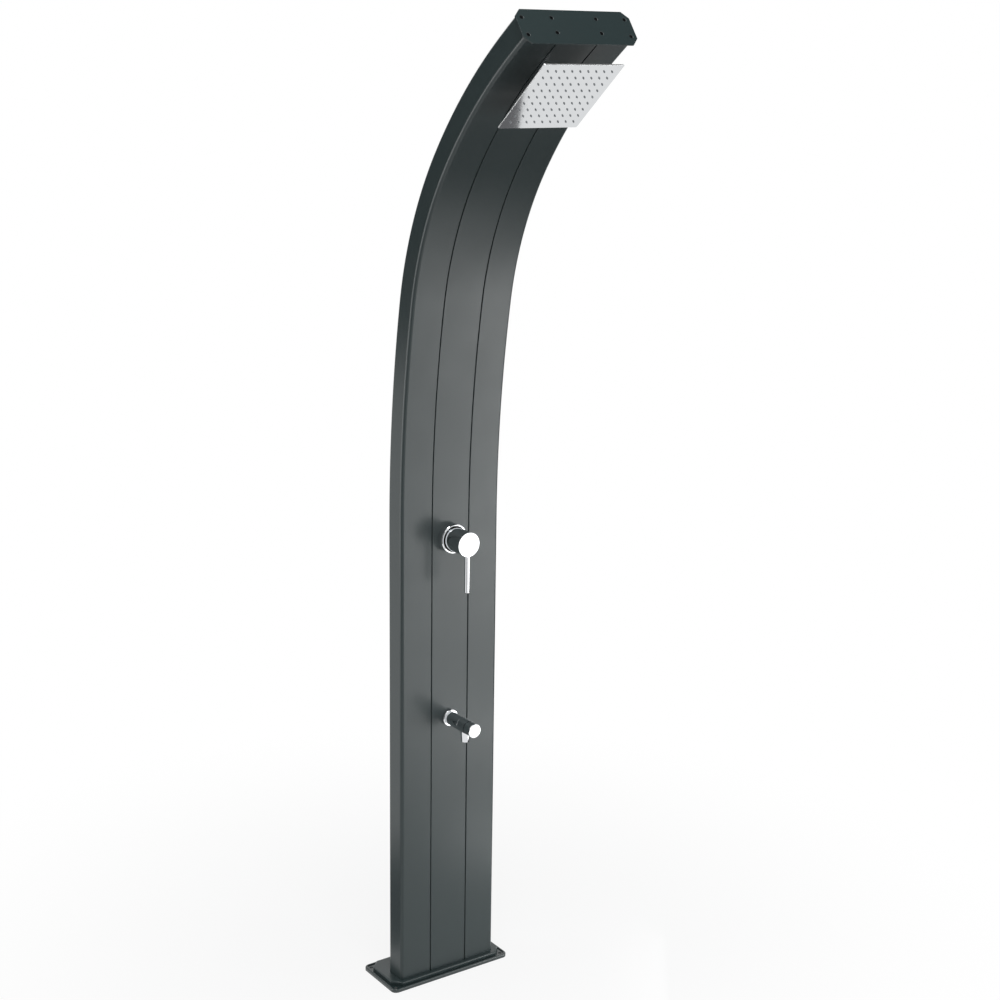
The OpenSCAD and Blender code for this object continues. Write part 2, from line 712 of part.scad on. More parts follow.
base_plate();
base_cover();
base_gasket();
base_screws();
left_profile();
right_profile();
front_panel();
rear_panel();
top_gasket();
top_cap();
top_screws();
mixer_body();
mixer_rosette();
rosette_seal();
mixer_dome();
cartridge_housing();
cartridge_nut();
ceramic_seat();
ceramic_slider();
cartridge_guide();
pivot_pin();
cartridge_stem();
mixer_handle();
mixer_lever();
handle_screw();
tap_rosette();
tap_seal();
tap_extension();
tap_backnut();
tap_body();
tap_headwork();
tap_stem();
tap_knob();
knob_screw();
spout_aerator();
head_nipple();
head_lock_nut();
ball_liner();
ball_nut();
head_hub();
head_back_plate();
head_face_plate();
head_nozzles();
inlet_connector();
inlet_nut();
check_valve();
cold_manifold();
cold_pipe();
tap_pipe();
hot_pipe();
head_pipe();
upper_crossover();
union_nuts();
drain_plug();
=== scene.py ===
"""Outdoor shower post: the finely modelled visible pieces, their finishes and the studio.

The classes of the pieces hold their sizes in millimetres, as on a workshop drawing. Every piece is
modelled in millimetres with edit-mode tools and is brought into the scene's metres when it is
placed. The lamps, cards and the floor of the studio are in metres.
"""

import json
import logging
import math
from dataclasses import dataclass
from enum import Enum
from typing import Any, Callable, Sequence

import bmesh
import bpy
from mathutils import Matrix, Vector

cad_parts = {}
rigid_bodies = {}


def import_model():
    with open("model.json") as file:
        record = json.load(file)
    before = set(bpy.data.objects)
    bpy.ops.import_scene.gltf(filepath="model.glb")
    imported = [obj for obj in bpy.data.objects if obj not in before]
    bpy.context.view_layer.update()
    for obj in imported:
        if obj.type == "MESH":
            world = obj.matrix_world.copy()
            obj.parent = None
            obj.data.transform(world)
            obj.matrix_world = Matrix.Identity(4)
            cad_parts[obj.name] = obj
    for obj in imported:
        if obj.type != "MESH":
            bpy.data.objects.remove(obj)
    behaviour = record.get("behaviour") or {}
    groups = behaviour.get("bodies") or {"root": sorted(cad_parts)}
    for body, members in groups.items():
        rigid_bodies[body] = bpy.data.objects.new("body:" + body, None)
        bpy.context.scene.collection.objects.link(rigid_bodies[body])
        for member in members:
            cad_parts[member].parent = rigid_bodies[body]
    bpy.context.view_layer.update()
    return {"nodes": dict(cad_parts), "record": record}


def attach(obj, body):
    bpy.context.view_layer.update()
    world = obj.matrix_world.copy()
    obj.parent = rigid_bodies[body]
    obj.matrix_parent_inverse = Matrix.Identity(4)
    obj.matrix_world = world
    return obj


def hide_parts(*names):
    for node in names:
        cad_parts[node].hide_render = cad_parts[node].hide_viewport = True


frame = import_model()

log = logging.getLogger("shower_post")
Pair = tuple[float, float]
Triple = tuple[float, float, float]
Outline = tuple[Pair, ...]
MM = 0.001
# Millimetres: how near two measures count as one, and how near two points are merged.
NEAR = 0.02
MERGE_TURNED = 0.001
MERGE_FINISHED = 0.002
# Degrees: edges sharper than the first are rounded, and those up to the second shade smoothly.
SHARP = 35.0
SMOOTH = 32.0
# Most of the product of the two noises of a finish lies between these values.
NOISE_RANGE = (0.1, 0.45)
# The length in millimetres of the drill for a grub screw's hole.
GRUB_DRILL = 12.0
# These turn Z to the front, which is -Y, or to the back.
TO_FRONT = Matrix.Rotation(math.pi / 2, 4, "X")
TO_BACK = Matrix.Rotation(-math.pi / 2, 4, "X")
WHITE = (1.0, 1.0, 1.0, 1.0)


class Pick(Enum):
    """What a selection is made of."""

    VERTS = "VERT"
    EDGES = "EDGE"
    FACES = "FACE"


class Shade(Enum):
    """Colours of the finishes, as sRGB hex codes."""

    ANTHRACITE = "#2E3A3B"
    ANTHRACITE_SLOW = "#2A3536"
    CHROME = "#E0E2E4"
    STEEL = "#D2D4D5"
    STEEL_SLOW = "#C4C7C9"
    PLATE = "#D9DBDC"
    PLATE_SLOW = "#D3D5D7"
    BLACK_OXIDE = "#16181A"
    RUBBER = "#1D1F21"
    SILICONE = "#A6AAAD"
    BRASS = "#C8A45C"
    BRASS_SLOW = "#B08C48"
    CERAMIC = "#EDEAE2"
    PLASTIC = "#E6E6E2"
    FLOOR = "#E9EAEB"
    FELT = "#0B0C0D"
    GREY_CARD = "#8C8C8E"


def linear(shade: Shade) -> tuple[float, float, float, float]:
    """Turns an sRGB hex code into the linear colour that the sockets take.

    Args:
        shade: The colour.

    Returns:
        Red, green and blue in linear light, and full opacity.
    """
    parts = [int(shade.value[i : i + 2], 16) / 255 for i in (1, 3, 5)]
    red, green, blue = (c / 12.92 if c <= 0.04045 else ((c + 0.055) / 1.055) ** 2.4 for c in parts)
    return red, green, blue, 1.0


class Nodes:
    """The node tree of a material or a world."""

    def __init__(self, owner: bpy.types.ID) -> None:
        """Empties the owner's tree."""
        owner.use_nodes = True
        self.tree = owner.node_tree
        self.tree.nodes.clear()

    def add(self, kind: str, inputs: dict[Any, Any], output: str = "", **settings: Any) -> Any:
        """Adds a node, sets its options, and sets or links its inputs.

        Args:
            kind: The node's type name, without ShaderNode.
            inputs: Input names or numbers to plain values, or to the sockets that feed them.
            output: The name of an output.
            settings: The node's own options.

        Returns:
            The socket of that output, or all outputs if none is named.
        """
        node = self.tree.nodes.new("ShaderNode" + kind)
        for name, value in settings.items():
            setattr(node, name, value)
        for key, value in inputs.items():
            if isinstance(value, bpy.types.NodeSocket):
                self.tree.links.new(value, node.inputs[key])
            else:
                node.inputs[key].default_value = value
        return node.outputs[output] if output else node.outputs


@dataclass(frozen=True)
class Finish:
    """A surface finish: one material, and the record's slot that it belongs to."""

    name: str
    slot: str
    colour: Shade
    slow_colour: Shade
    roughness: float
    spread: float = 0.04
    metallic: float = 0.0
    index: float = 1.5
    grain_mm: float = 1.0
    depth_mm: float = 0.0
    stretch: Triple = (1.0, 1.0, 1.0)
    cloud_mm: float = 60.0

    def material(self) -> bpy.types.Material:
        """Builds the finish's material, or returns it if it is there already."""
        found = bpy.data.materials.get(self.name)
        if found:
            return found
        mat = bpy.data.materials.new(self.name)
        add = Nodes(mat).add
        place = add("TexCoord", {}, "Object")
        along = add("Mapping", {"Vector": place, "Scale": self.stretch}, "Vector")
        scale = 1 / (self.cloud_mm * MM), 1 / (self.grain_mm * MM)
        clouds = add("TexNoise", {"Vector": place, "Scale": scale[0], "Detail": 3.0}, "Fac")
        grain = add("TexNoise", {"Vector": along, "Scale": scale[1], "Detail": 2.0}, "Fac")
        colours = {"Factor": clouds, "A": linear(self.colour), "B": linear(self.slow_colour)}
        tone = add("Mix", colours, "Result", data_type="RGBA")
        blend = add("Math", {0: clouds, 1: grain}, "Value", operation="MULTIPLY")
        low, high = max(self.roughness - self.spread, 0.01), self.roughness + self.spread
        rough = add("MapRange", {"Value": blend, "From Min": NOISE_RANGE[0],
                                 "From Max": NOISE_RANGE[1], "To Min": low, "To Max": high}, "Result")
        look = {"Base Color": tone, "Roughness": rough, "Metallic": self.metallic, "IOR": self.index}
        if self.depth_mm:
            height = {"Height": grain, "Strength": 1.0, "Distance": self.depth_mm * MM}
            look["Normal"] = add("Bump", height, "Normal")
        add("OutputMaterial", {"Surface": add("BsdfPrincipled", look, "BSDF")})
        return mat


# Aluminium with a smooth anthracite powder coat: satin, a little green, with a broad soft sheen.
# The texture of the coat, about 0.3 mm in life, is too fine to show and is drawn at 1.1 mm.
POWDER_COAT = Finish("anthracite_powder_coat", "coated_aluminium", Shade.ANTHRACITE,
                     Shade.ANTHRACITE_SLOW, 0.33, spread=0.03, grain_mm=1.1, depth_mm=0.01,
                     cloud_mm=90)
# Pressed steel with the same coat, a little glossier, so that the bead draws fine bright lines.
# Its texture is drawn at 1.1 mm too.
BASE_COAT = Finish("anthracite_coated_steel", "coated_steel", Shade.ANTHRACITE,
                   Shade.ANTHRACITE_SLOW, 0.14, spread=0.03, index=1.6, grain_mm=1.1,
                   depth_mm=0.006, cloud_mm=50)
# Chromed brass: a clear mirror, black where it shows the post and white where it shows the room.
# The haze that the polish leaves is finer in life and is drawn in spots of 6 mm.
CHROME = Finish("polished_chrome", "chrome", Shade.CHROME, Shade.CHROME, 0.045, spread=0.02,
                metallic=1.0, grain_mm=6, cloud_mm=25)
# Turned or drawn stainless steel: grey, with a blurred reflection. The tool marks, under 0.1 mm
# in life, are drawn at 0.5 mm.
STEEL = Finish("stainless_steel", "stainless_steel", Shade.STEEL, Shade.STEEL_SLOW, 0.28,
               spread=0.06, metallic=1.0, grain_mm=0.5, depth_mm=0.004, cloud_mm=20)
# Polished stainless sheet: a slightly milky mirror, with a faint direction from the rolling. The
# hair-fine lines of the rolling are drawn as bands of 1.2 mm.
PLATE_STEEL = Finish("polished_plate_steel", "stainless_steel", Shade.PLATE, Shade.PLATE_SLOW, 0.05,
                     spread=0.02, metallic=1.0, grain_mm=1.2, stretch=(0.04, 1.0, 1.0),
                     cloud_mm=60)
# Black oxide on steel screws: dull and nearly black, so that they read as dark dots.
BLACK_STEEL = Finish("black_oxide_steel", "black_steel", Shade.BLACK_OXIDE, Shade.RUBBER, 0.35,
                     metallic=0.6, grain_mm=0.4, depth_mm=0.004, cloud_mm=8)
# Moulded rubber: black and matt.
RUBBER = Finish("black_rubber", "black_rubber", Shade.RUBBER, Shade.BLACK_OXIDE, 0.7, spread=0.08,
                grain_mm=0.5, depth_mm=0.02, cloud_mm=12)
# Moulded grey silicone: matt tips that stand out against the bright sheet.
SILICONE = Finish("grey_silicone", "nozzle_silicone", Shade.SILICONE, Shade.SILICONE, 0.5,
                  spread=0.08, grain_mm=0.3, depth_mm=0.004, cloud_mm=6)
# Machined brass: warm. Its tool marks are drawn at 0.8 mm, coarser than in life.
BRASS = Finish("raw_brass", "brass", Shade.BRASS, Shade.BRASS_SLOW, 0.3, spread=0.08, metallic=1.0,
               grain_mm=0.8, depth_mm=0.006, cloud_mm=15)
# Lapped alumina: off-white and smooth.
CERAMIC = Finish("polished_ceramic", "ceramic", Shade.CERAMIC, Shade.PLASTIC, 0.15, grain_mm=0.5,
                 cloud_mm=10)
# Moulded acetal: white, waxy and soft in its highlight.
PLASTIC = Finish("white_plastic", "white_plastic", Shade.PLASTIC, Shade.CERAMIC, 0.45, spread=0.06,
                 grain_mm=0.6, depth_mm=0.006, cloud_mm=12)
# One finish for each slot of the record.
FINISHES = [POWDER_COAT, BASE_COAT, CHROME, STEEL, BLACK_STEEL, RUBBER, SILICONE, BRASS, CERAMIC,
            PLASTIC]


def near(one: float, other: float) -> bool:
    """Whether two measures count as one."""
    return abs(one - other) < NEAR


def middle(edge: bmesh.types.BMEdge) -> Vector:
    """The middle of an edge."""
    return sum((v.co for v in edge.verts), Vector()) / 2


class Piece:
    """A mesh on the bench, modelled in millimetres with edit-mode tools."""

    def __init__(self, name: str) -> None:
        """Takes the mesh that has just been added to the scene and opens it for editing."""
        self.obj = bpy.context.active_object
        self.obj.name = self.obj.data.name = name
        bpy.ops.object.mode_set(mode="EDIT")

    @staticmethod
    def clear_bench() -> None:
        """Leaves edit mode and deselects everything."""
        if bpy.context.object and bpy.context.object.mode != "OBJECT":
            bpy.ops.object.mode_set(mode="OBJECT")
        for obj in bpy.context.scene.objects:
            obj.select_set(False)

    @classmethod
    def plate(cls, name: str, width: float, depth: float, centre: Sequence[float]) -> "Piece":
        """Starts from a flat rectangle.

        Args:
            name: The piece's name.
            width: Size along X.
            depth: Size along Y.
            centre: Where its middle lies.

        Returns:
            The piece, with its face selected.
        """
        cls.clear_bench()
        bpy.ops.mesh.primitive_plane_add(size=1.0)
        piece = cls(name)
        bpy.ops.transform.resize(value=(width, depth, 1))
        bpy.ops.transform.translate(value=centre)
        return piece

    @classmethod
    def slab(cls, name: str, size: Pair, corner: tuple[float, int], low: float,
             high: float, y: float = 0.0) -> "Piece":
        """Starts from a flat slab with rounded or cut corners.

        Args:
            name: The piece's name.
            size: Its sizes along X and Y.
            corner: The radius of a corner, and the segments that draw it. One segment cuts it.
            low: The level of its lower face.
            high: The level of its upper face.
            y: Where its middle lies along Y.

        Returns:
            The piece.
        """
        piece = cls.plate(name, *size, (0, y, low))
        piece.pick_all(Pick.VERTS).round_corners(*corner)
        return piece.pick_all(Pick.FACES).rise(high - low)

    @classmethod
    def disc(cls, name: str, radius: float, sides: int, level: float = 0.0) -> "Piece":
        """Starts from a filled circle or a regular polygon with that outer radius."""
        cls.clear_bench()
        bpy.ops.mesh.primitive_circle_add(vertices=sides, radius=radius, fill_type="NGON",
                                          location=(0, 0, level))
        bpy.ops.object.transform_apply(location=True, rotation=True, scale=True)
        return cls(name)

    @classmethod
    def hexagon(cls, name: str, size: Triple) -> "Piece":
        """Starts from a hexagonal nut: its size across flats, its level and its height."""
        across, level, height = size
        return cls.disc(name, across / math.sqrt(3), 6, level).rise(height)

    @classmethod
    def turned(cls, name: str, profile: Sequence[Pair], steps: int = 72) -> "Piece":
        """Draws a line of points (radius, height) and spins it round the Z axis.

        Args:
            name: The piece's name.
            profile: The points, from one end to the other. A ring's line ends where it starts.
            steps: Steps of a whole turn.

        Returns:
            The closed piece.
        """
        cls.clear_bench()
        bpy.ops.mesh.primitive_plane_add(size=1.0)
        piece = cls(name)
        bpy.ops.mesh.select_mode(type="VERT")
        bpy.ops.mesh.merge(type="CENTER")
        start = Vector((profile[0][0], 0, profile[0][1]))
        bpy.ops.transform.translate(value=start)
        for radius, height in profile[1:]:
            here = Vector((radius, 0, height))
            bpy.ops.mesh.extrude_vertices_move(TRANSFORM_OT_translate={"value": here - start})
            start = here
        bpy.ops.mesh.select_all(action="SELECT")
        bpy.ops.mesh.spin(steps=steps, angle=math.tau, center=(0, 0, 0), axis=(0, 0, 1))
        bpy.ops.mesh.select_all(action="SELECT")
        bpy.ops.mesh.remove_doubles(threshold=MERGE_TURNED)
        bpy.ops.mesh.normals_make_consistent(inside=False)
        return piece

    def pick(self, kind: Pick, test: Callable[[Any], bool]) -> "Piece":
        """Selects what passes a test.

        Args:
            kind: Vertices, edges or faces.
            test: Says of a vertex, edge or face whether it is selected.

        Returns:
            The piece itself.
        """
        bpy.ops.mesh.select_mode(type=kind.value)
        bpy.ops.mesh.select_all(action="DESELECT")
        mesh = bmesh.from_edit_mesh(self.obj.data)
        items = {Pick.VERTS: mesh.verts, Pick.EDGES: mesh.edges, Pick.FACES: mesh.faces}[kind]
        for item in items:
            if test(item):
                item.select_set(True)
        mesh.select_flush_mode()
        bmesh.update_edit_mesh(self.obj.data)
        return self

    def pick_all(self, kind: Pick) -> "Piece":
        """Selects every vertex, edge or face."""
        return self.pick(kind, lambda item: True)

    def pick_level(self, level: float) -> "Piece":
        """Selects the flat faces at a level."""
        return self.pick(Pick.FACES, lambda f: all(near(v.co.z, level) for v in f.verts))

    def move(self, offset: Sequence[float]) -> "Piece":
        """Moves the selection."""
        bpy.ops.transform.translate(value=offset)
        return self

    def push(self, offset: Sequence[float]) -> "Piece":
        """Extrudes the selection by an offset."""
        bpy.ops.mesh.extrude_region_move(TRANSFORM_OT_translate={"value": offset})
        return self

    def rise(self, height: float) -> "Piece":
        """Extrudes the selection upwards."""
        return self.push((0, 0, height))

    def round_corners(self, radius: float, segments: int = 8) -> "Piece":
        """Rounds the selected corners of a flat face."""
        bpy.ops.mesh.bevel(offset=radius, segments=segments, affect="VERTICES")
        return self

    def arc_step(self, radius: float, turn: float, steps: int) -> "Piece":
        """Carries the selected top face in and up round an arc.

        Args:
            radius: The arc's radius.
            turn: Degrees: 90 for a rounded edge, 180 for a bead.
            steps: The steps that draw the arc.

        Returns:
            The piece itself.
        """
        for i in range(steps):
            a, b = (math.radians(turn * k / steps) for k in (i, i + 1))
            bpy.ops.mesh.inset(thickness=radius * (math.cos(a) - math.cos(b)),
                               depth=radius * (math.sin(b) - math.sin(a)),
                               use_boundary=True, use_even_offset=True)
        return self

    def take_up(self) -> "Piece":
        """Makes this the only selected piece, and the active one, in object mode."""
        self.clear_bench()
        self.obj.select_set(True)
        bpy.context.view_layer.objects.active = self.obj
        return self

    def modify(self, kind: str, **settings: Any) -> "Piece":
        """Adds a modifier and applies it.

        Args:
            kind: The modifier's type name.
            settings: The modifier's options.

        Returns:
            The piece itself.
        """
        self.take_up()
        modifier = self.obj.modifiers.new(kind.lower(), kind)
        for name, value in settings.items():
            setattr(modifier, name, value)
        bpy.ops.object.modifier_apply(modifier=modifier.name)
        return self

    def soften(self, width: float, segments: int) -> "Piece":
        """Rounds every sharp edge a little, so that it catches the light."""
        return self.modify("BEVEL", width=width, segments=segments, limit_method="ANGLE",
                           angle_limit=math.radians(SHARP), use_clamp_overlap=True)

    def cut(self, tool: "Piece", operation: str = "DIFFERENCE") -> "Piece":
        """Takes a tool piece out of this one, or joins it to it, and throws the tool away."""
        tool.settle()
        self.modify("BOOLEAN", operation=operation, object=tool.obj, solver="EXACT")
        bpy.data.objects.remove(tool.obj)
        return self

    def drill_below(self, radius: float, sides: int, start: float, out: float) -> "Piece":
        """Drills a grub screw's hole down from the height start, inside the piece, to its outside."""
        drill = Piece.disc("grub_hole", radius, sides).rise(GRUB_DRILL)
        return self.cut(drill.stand(Matrix.Translation((0, start, out)) @ TO_FRONT))

    def settle(self) -> "Piece":
        """Makes the normals point outwards and leaves edit mode."""
        if self.obj.mode != "EDIT":
            self.take_up()
            bpy.ops.object.mode_set(mode="EDIT")
        bpy.ops.mesh.select_all(action="SELECT")
        bpy.ops.mesh.remove_doubles(threshold=MERGE_FINISHED)
        bpy.ops.mesh.normals_make_consistent(inside=False)
        bpy.ops.object.mode_set(mode="OBJECT")
        return self

    def stand(self, place: Matrix) -> "Piece":
        """Moves the finished mesh to a place, still in millimetres."""
        self.settle().take_up()
        self.obj.matrix_world = place
        bpy.ops.object.transform_apply(location=True, rotation=True, scale=True)
        return self

    def repeated(self, places: Sequence[Matrix]) -> "Piece":
        """Copies the piece to each place, each copy with its own mesh, and joins the copies.

        Args:
            places: Where the copies stand.

        Returns:
            The piece itself, with all the copies in it.
        """
        self.settle()
        copies = []
        for place in places:
            copy = self.obj.copy()
            copy.data = self.obj.data.copy()
            bpy.context.scene.collection.objects.link(copy)
            copy.matrix_world = place
            copies.append(copy)
        name, mesh = self.obj.name, self.obj.data
        bpy.data.objects.remove(self.obj)
        bpy.data.meshes.remove(mesh)
        self.clear_bench()
        for copy in copies:
            copy.select_set(True)
        bpy.context.view_layer.objects.active = copies[0]
        bpy.ops.object.transform_apply(location=True, rotation=True, scale=True)
        bpy.ops.object.join()
        self.obj = bpy.context.active_object
        self.obj.name = self.obj.data.name = name
        return self

    def deliver(self, finish: Finish, body: str, *nodes: str,
                place: Matrix | None = None) -> bpy.types.Object:
        """Brings the piece into the scene, dresses it and hangs it on its body.

        Args:
            finish: The surface finish.
            body: The body that carries it.
            nodes: The CAD nodes that it stands for.
            place: Where it stands, in millimetres, or None where it was modelled in place.

        Returns:
            The finished object.
        """
        self.stand(Matrix.Scale(MM, 4) @ (place or Matrix.Identity(4)))
        bpy.ops.object.shade_smooth_by_angle(angle=math.radians(SMOOTH))
        self.modify("WEIGHTED_NORMAL", keep_sharp=True, weight=90)
        self.obj.data.materials.clear()
        self.obj.data.materials.append(finish.material())
        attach(self.obj, body)
        if nodes:
            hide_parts(*nodes)
        log.info("%s: %d faces on %s", self.obj.name, len(self.obj.data.polygons), body)
        return self.obj


@dataclass(frozen=True)
class Bend:
    """One bend of the post: its radius, its turn in degrees and the steps that draw it."""

    radius: float
    turn: float
    steps: int


@dataclass
class CentreLine:
    """The line that the extrusions follow, in the plane X = 0."""

    forward: float = 23.0
    half_depth: float = 29.0
    foot: float = 8.0
    last_step: float = 12.0
    bend_start: float = 1160.0
    bends: tuple[Bend, ...] = (Bend(2980, 10, 14), Bend(774, 26, 40), Bend(1084, 17.7, 26),
                               Bend(20000, 0.17, 2))
    head_below_top: float = 120.0

    def lean_below(self, index: int) -> float:
        """The lean in degrees where a bend starts."""
        return sum(b.turn for b in self.bends[:index])

    def centre(self, index: int) -> Vector:
        """The centre of a bend."""
        at = Vector((0, -self.forward - self.bends[0].radius, self.bend_start))
        for i in range(index):
            lean = math.radians(self.lean_below(i + 1))
            reach = self.bends[i].radius - self.bends[i + 1].radius
            at += reach * Vector((0, math.cos(lean), math.sin(lean)))
        return at

    def frame_at(self, index: int, lean: float) -> Matrix:
        """A frame on the line: X to the right, Y to the back, Z up along the post.

        Args:
            index: The bend that the frame is in.
            lean: The post's lean there, in degrees.

        Returns:
            The frame's matrix, in millimetres.
        """
        turn = math.radians(lean)
        out = Vector((0, math.cos(turn), math.sin(turn)))
        place = self.centre(index) + self.bends[index].radius * out
        return Matrix.Translation(place) @ Matrix.Rotation(turn, 4, "X")

    def top(self) -> Matrix:
        """The frame of the upper end."""
        count = len(self.bends)
        return self.frame_at(count - 1, self.lean_below(count))

    def head(self) -> Matrix:
        """The frame of the overhead plate, in the last bend but one, with Z out of the front."""
        index = len(self.bends) - 2
        here, last = self.bends[index:]
        past = self.head_below_top - math.radians(last.turn) * last.radius
        lean = self.lean_below(index + 1) - math.degrees(past / here.radius)
        face = Matrix.Translation((0, -self.half_depth, 0)) @ TO_FRONT
        return self.frame_at(index, lean) @ face

    def front(self, height: float) -> Matrix:
        """A frame on the front face of the straight part, with Z outwards and Y up."""
        return Matrix.Translation((0, -self.forward - self.half_depth, height)) @ TO_FRONT

    def rear(self, x: float, height: float) -> Matrix:
        """A frame on the back face of the straight part, with Z outwards."""
        return Matrix.Translation((x, -self.forward + self.half_depth, height)) @ TO_BACK

    def sweep(self, piece: Piece) -> Piece:
        """Extrudes the selected section up the straight part and spins it round every bend.

        The straight part ends in a short step, which keeps the bends' shading out of it.
        """
        piece.rise(self.bend_start - self.foot - self.last_step).rise(self.last_step)
        for index, bend in enumerate(self.bends):
            bpy.ops.mesh.spin(steps=bend.steps, angle=math.radians(bend.turn),
                              center=self.centre(index), axis=(-1, 0, 0))
        return piece


@dataclass
class Extrusions:
    """The two tank profiles and the panels clipped between them."""

    line: CentreLine
    half_width: float = 135.0
    corner: float = 8.0
    wall: float = 2.5
    inner: float = 54.0
    lip: float = 1.5
    rail: float = 7.0
    rail_wall: float = 2.0
    panel_half: float = 49.5
    edge: float = 0.45

    def profile(self, side: int) -> Piece:
        """Models one tank profile with its lips and clip rails.

        Args:
            side: 1 for the right one, -1 for the left one.

        Returns:
            The swept piece.
        """
        name = "right_tank" if side > 0 else "left_tank"
        half, mid, inner = self.line.half_depth, -self.line.forward, self.inner
        width = self.half_width - inner
        piece = Piece.plate(name, width, 2 * half, (inner + width / 2, mid, self.line.foot))
        piece.pick(Pick.VERTS, lambda v: v.co.x > self.half_width - 1).round_corners(self.corner)
        # The inner edge gets four more corners, which move to where lips and rails start.
        piece.pick(Pick.EDGES, lambda e: all(near(v.co.x, inner) for v in e.verts))
        bpy.ops.mesh.subdivide(number_cuts=4)
        wall, rail = half - self.wall, half - self.wall - self.rail_wall
        for k, level in enumerate((-wall, -rail, rail, wall), start=1):
            old = -half + 2 * half * k / 5
            piece.pick(Pick.VERTS, lambda v: near(v.co.x, inner) and near(v.co.y - mid, old))
            piece.move((0, level - old, 0))
        for reach, low, high in ((self.lip, wall, half), (self.rail, rail, wall)):
            for sign in (-1, 1):
                y = mid + sign * (low + high) / 2
                piece.pick(Pick.EDGES, lambda e: near(middle(e).x, inner) and near(middle(e).y, y))
                piece.push((-reach, 0, 0))
        tip = inner - self.lip
        piece.pick(Pick.VERTS, lambda v: near(v.co.x, tip) and near(abs(v.co.y - mid), half))
        piece.round_corners(self.edge, 3).pick_all(Pick.FACES)
        self.line.sweep(piece)
        if side < 0:
            bpy.ops.mesh.select_all(action="SELECT")
            bpy.ops.transform.resize(value=(-1, 1, 1), center_override=(0, 0, 0))
        return piece

    def panel(self, front: bool) -> Piece:
        """Models the front or the rear panel between the tanks."""
        half, mid = self.line.half_depth, -self.line.forward
        sign = -1 if front else 1
        piece = Piece.plate("middle_panel" if front else "back_panel", 2 * self.panel_half, self.wall,
                            (0, mid + sign * (half - self.wall / 2), self.line.foot))
        piece.pick(Pick.VERTS, lambda v: near(v.co.y - mid, sign * half))
        piece.round_corners(self.edge, 3).pick_all(Pick.FACES)
        return self.line.sweep(piece)

    def build(self) -> None:
        """Builds and dresses the extrusions."""
        self.profile(1).deliver(POWDER_COAT, "post", "right_profile")
        self.profile(-1).deliver(POWDER_COAT, "post", "left_profile")
        self.panel(True).deliver(POWDER_COAT, "post", "front_panel")
        self.panel(False).deliver(POWDER_COAT, "post", "rear_panel")


@dataclass
class Base:
    """The floor plate with its bead rim, and the cover round the foot of the post."""

    line: CentreLine
    width: float = 338.0
    depth: float = 147.0
    corner: float = 14.0
    plate: float = 6.0
    bead: float = 3.0
    inset: float = 10.0
    cover_cut: float = 22.0
    height: float = 17.0
    fillet: float = 3.0
    seam: float = 0.2
    anchor: Triple = (155.0, 58.0, 4.5)
    post: Triple = (270.0, 58.0, 8.0)
    gap: float = 0.5

    def floor_plate(self) -> Piece:
        """Models the floor plate: its rim is a half round bead, and four holes take the anchors."""
        size = self.width, self.depth
        piece = Piece.slab("floor_plate", size, (self.corner, 10), 0, self.plate)
        piece.pick_level(self.plate).arc_step(self.bead, 180, 12)
        x, y, radius = self.anchor
        holes = Piece.disc("anchor_holes", radius, 32, -2).rise(self.plate + 8)
        holes.repeated([Matrix.Translation((sx * x, sy * y, 0)) for sx in (-1, 1) for sy in (-1, 1)])
        return piece.cut(holes)

    def cover(self) -> Piece:
        """Models the cover: cut corners, a rounded upper edge and a gap round the post."""
        size = self.width - 2 * self.inset, self.depth - 2 * self.inset
        shoulder = self.height - self.fillet
        piece = Piece.slab("foot_cover", size, (self.cover_cut, 1), self.plate + self.seam, shoulder)
        piece.pick_level(shoulder).arc_step(self.fillet, 90, 8)
        width, depth, corner = self.post
        room, low = 2 * self.gap, self.plate + 2
        hole = Piece.slab("post_hole", (width + room, depth + room), (corner + self.gap, 8), low,
                          low + self.height, -self.line.forward)
        return piece.cut(hole)

    def build(self) -> None:
        """Builds and dresses the base."""
        self.floor_plate().soften(0.3, 2).deliver(BASE_COAT, "post", "base_plate")
        self.cover().soften(0.25, 2).deliver(POWDER_COAT, "post", "base_cover")


